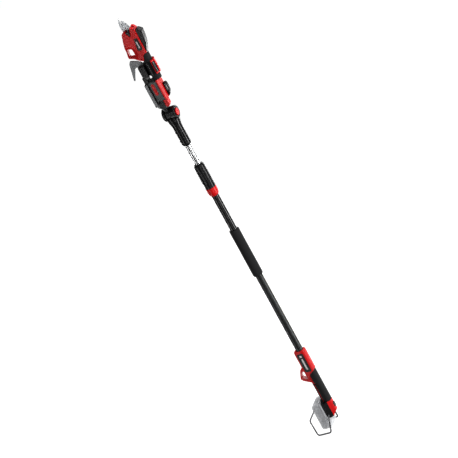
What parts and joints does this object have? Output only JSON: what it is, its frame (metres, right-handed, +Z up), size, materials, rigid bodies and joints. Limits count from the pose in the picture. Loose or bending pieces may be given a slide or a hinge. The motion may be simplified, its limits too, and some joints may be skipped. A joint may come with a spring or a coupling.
{
  "type": "telescoping pole pruner",
  "caption": "Cordless bypass pruner on a telescoping pole with a tilting head, branch hook, twist lock, foam grip, powered rear handle and wire stand.",
  "frame": {"origin": "on the pole's axis, level with the underside of the wire stand", "axes": "+Z up the pole to the blades, +X the spine side, -X the trigger and battery side"},
  "size_m": [0.1474, 0.1154, 1.8657],
  "materials": {
    "red_plastic": "satin moulded plastic",
    "black_plastic": "fine textured moulded plastic",
    "rubber": "soft matt overmould",
    "foam": "closed cell foam",
    "black_coat": "gloss powder coat",
    "polished_aluminium": "polished drawn tube",
    "silver_metal": "bead blasted",
    "grey_plastic": "satin",
    "pack_plastic": "frosted, translucent",
    "wire": "dark grey coated wire",
    "blade_steel": "ground",
    "machine_steel": "turned",
    "screw_steel": "zinc plated",
    "natural_nylon": "unfilled nylon",
    "contact_brass": "plated",
    "lead_rubber": "smooth",
    "switch_plastic": "smooth"
  },
  "bodies": {
    "rear_pole": {"outer_tube": "black_coat", "foam_grip": "foam", "lock_collar": "red_plastic", "lock_base": "black_plastic", "collet": "natural_nylon", "coiled_lead": "lead_rubber", "handle_shell_near": "red_plastic", "handle_shell_far": "red_plastic", "handle_panels": "black_plastic", "handle_screws": "screw_steel", "softgrip_back": "rubber", "softgrip_front": "rubber", "rear_switch": "switch_plastic", "foot_body": "black_plastic", "foot_cover": "red_plastic", "terminal_block": "contact_brass", "wire_stand": "wire"},
    "rear_trigger": {"rear_trigger": "black_plastic"},
    "power_button": {"power_button": "black_plastic"},
    "lock_sleeve": {"lock_sleeve": "black_plastic"},
    "battery": {"battery_case": "pack_plastic", "battery_lid": "pack_plastic", "battery_cells": "machine_steel"},
    "battery_latch": {"battery_latch": "black_plastic"},
    "mast": {"inner_tube": "polished_aluminium", "guide_bush": "natural_nylon", "fork_shell_near": "black_plastic", "fork_shell_far": "black_plastic", "fork_screws": "screw_steel", "tilt_pin": "machine_steel", "tilt_spring": "machine_steel"},
    "tilt_button": {"tilt_button": "red_plastic"},
    "head": {"tilt_lug": "black_plastic", "tray": "silver_metal", "adapter_body": "grey_plastic", "adapter_inlays": "red_plastic", "clamp_bracket": "black_plastic", "branch_hook": "silver_metal", "hook_screws": "screw_steel", "lever_pin": "machine_steel", "pruner_shell_near": "red_plastic", "pruner_shell_far": "red_plastic", "pruner_panels": "black_plastic", "pruner_screws": "screw_steel", "spine_cover": "black_plastic", "pruner_grip": "rubber", "battery_mount": "red_plastic", "hang_loop": "black_plastic", "fixed_blade": "blade_steel", "blade_bolt": "machine_steel", "motor": "machine_steel", "gearbox": "machine_steel", "pruner_board": "switch_plastic"},
    "quick_latch": {"quick_latch": "red_plastic"},
    "clamp_lever": {"clamp_lever": "red_plastic", "clamp_pad": "black_plastic"},
    "pruner_trigger": {"pruner_trigger": "black_plastic"},
    "cutting_blade": {"cutting_blade": "blade_steel"},
    "cross_shaft": {"cross_shaft": "machine_steel"},
    "bevel_pinion": {"bevel_pinion": "machine_steel"}
  },
  "joints": [
    {"name": "rear_trigger_pull", "type": "hinge", "parent": "rear_pole", "child": "rear_trigger", "pos_m": [-0.018, 0, 0.2582], "axis": [0, -1, 0], "range_deg": [0, 10], "stiffness_Nm_per_rad": 0.3, "springref_deg": -17.19},
    {"name": "power_press", "type": "slide", "parent": "rear_pole", "child": "power_button", "axis": [-1, 0, 0], "range_m": [0, 0.002], "stiffness_N_per_m": 400, "springref_m": -0.003},
    {"name": "sleeve_twist", "type": "hinge", "parent": "rear_pole", "child": "lock_sleeve", "pos_m": [0, 0, 1.17], "axis": [0, 0, 1], "range_deg": [0, 90]},
    {"name": "battery_slide", "type": "slide", "parent": "rear_pole", "child": "battery", "axis": [0, 0, -1], "range_m": [0, 0.12]},
    {"name": "battery_latch_press", "type": "slide", "parent": "battery", "child": "battery_latch", "axis": [1, 0, 0], "range_m": [0, 0.0015], "stiffness_N_per_m": 400, "springref_m": -0.003},
    {"name": "telescope", "type": "slide", "parent": "rear_pole", "child": "mast", "axis": [0, 0, 1], "range_m": [0, 0.65], "deforming": ["coiled_lead"]},
    {"name": "tilt_button_press", "type": "slide", "parent": "mast", "child": "tilt_button", "axis": [-1, 0, 0], "range_m": [0, 0.0025], "stiffness_N_per_m": 500, "springref_m": -0.004, "deforming": ["tilt_spring"]},
    {"name": "head_tilt", "type": "hinge", "parent": "mast", "child": "head", "pos_m": [0, 0, 1.44], "axis": [1, 0, 0], "range_deg": [-60, 60]},
    {"name": "quick_latch_press", "type": "slide", "parent": "head", "child": "quick_latch", "axis": [0, 0, -1], "range_m": [0, 0.003], "stiffness_N_per_m": 400, "springref_m": -0.004},
    {"name": "lever_open", "type": "hinge", "parent": "head", "child": "clamp_lever", "pos_m": [0.0335, 0.023, 1.64], "axis": [0, 0, 1], "range_deg": [0, 100]},
    {"name": "pruner_trigger_pull", "type": "hinge", "parent": "head", "child": "pruner_trigger", "pos_m": [-0.0045, 0, 1.744], "axis": [0, -1, 0], "range_deg": [0, 7], "stiffness_Nm_per_rad": 0.3, "springref_deg": -17.19},
    {"name": "blade_pivot", "type": "hinge", "parent": "head", "child": "cutting_blade", "pos_m": [0.009, 0, 1.8], "axis": [0, -1, 0], "range_deg": [-30, 14]},
    {"name": "cross_shaft_spin", "type": "hinge", "parent": "head", "child": "cross_shaft", "pos_m": [0.02597, 0, 1.78303], "axis": [0, -1, 0], "range_deg": [-45, 95]},
    {"name": "bevel_spin", "type": "hinge", "parent": "head", "child": "bevel_pinion", "pos_m": [0.02597, 0, 1.78303], "axis": [0, 0, 1], "range_deg": [-170, 80]}
  ],
  "couplings": [
    {"joint": "cross_shaft_spin", "follows": "blade_pivot", "ratio": -3},
    {"joint": "bevel_spin", "follows": "blade_pivot", "ratio": 5.4}
  ]
}
